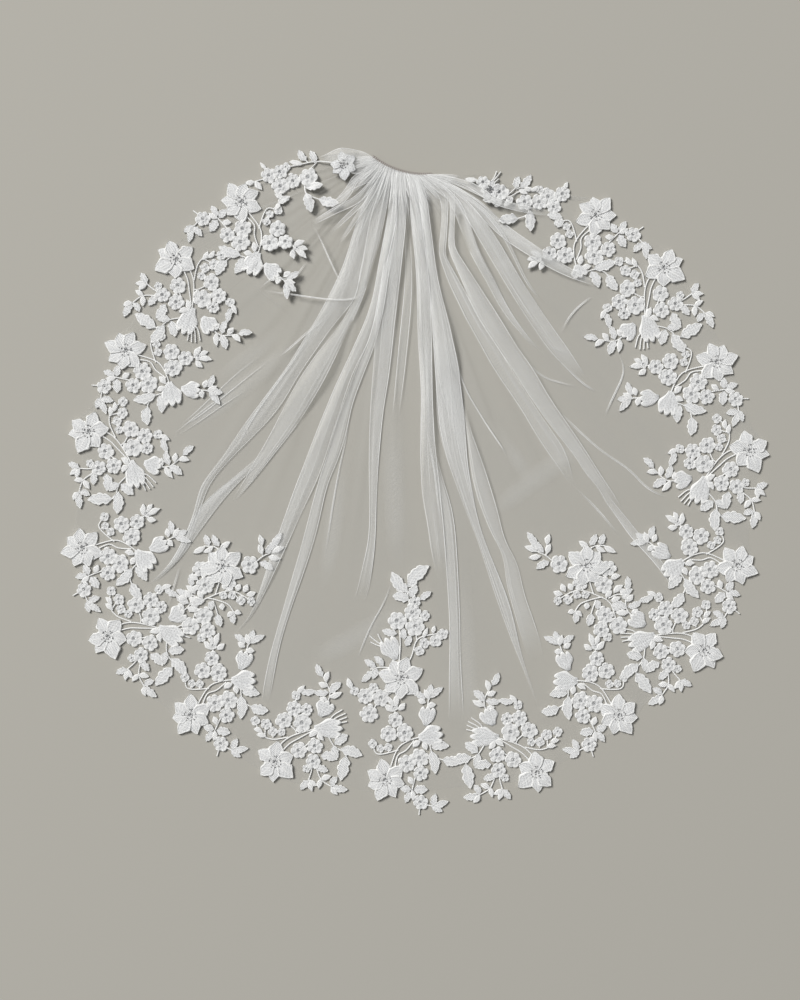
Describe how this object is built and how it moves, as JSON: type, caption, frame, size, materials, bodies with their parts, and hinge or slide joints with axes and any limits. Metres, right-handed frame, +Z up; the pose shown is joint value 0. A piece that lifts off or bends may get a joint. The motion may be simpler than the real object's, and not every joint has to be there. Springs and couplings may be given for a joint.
{
  "type": "tulle veil",
  "caption": "Fingertip bridal veil laid flat: soft tulle gathered on a small comb, with edge and inner sprays of raised flower lace.",
  "frame": {"origin": "on the floor, under the middle of the laid veil's bounding box", "axes": "+Z up from the floor, +Y towards the comb, +X to the right as seen from above with the comb at the top"},
  "size_m": [1.0239, 0.9558, 0.0136],
  "materials": {
    "tulle": "sheer soft net",
    "lace": "matt raised embroidery",
    "comb": "satin"
  },
  "bodies": {
    "root": {"tulle": "tulle", "comb": "comb", "applique_edge_01": "lace", "applique_edge_02": "lace", "applique_edge_03": "lace", "applique_edge_04": "lace", "applique_edge_05": "lace", "applique_edge_06": "lace", "applique_edge_07": "lace", "applique_edge_08": "lace", "applique_edge_09": "lace", "applique_edge_10": "lace", "applique_edge_11": "lace", "applique_edge_12": "lace", "applique_edge_13": "lace", "applique_edge_14": "lace", "applique_edge_15": "lace", "applique_edge_16": "lace", "applique_edge_17": "lace", "applique_edge_18": "lace", "applique_edge_19": "lace", "applique_inner_left": "lace", "applique_inner_centre": "lace", "applique_inner_right": "lace"}
  },
  "joints": []
}
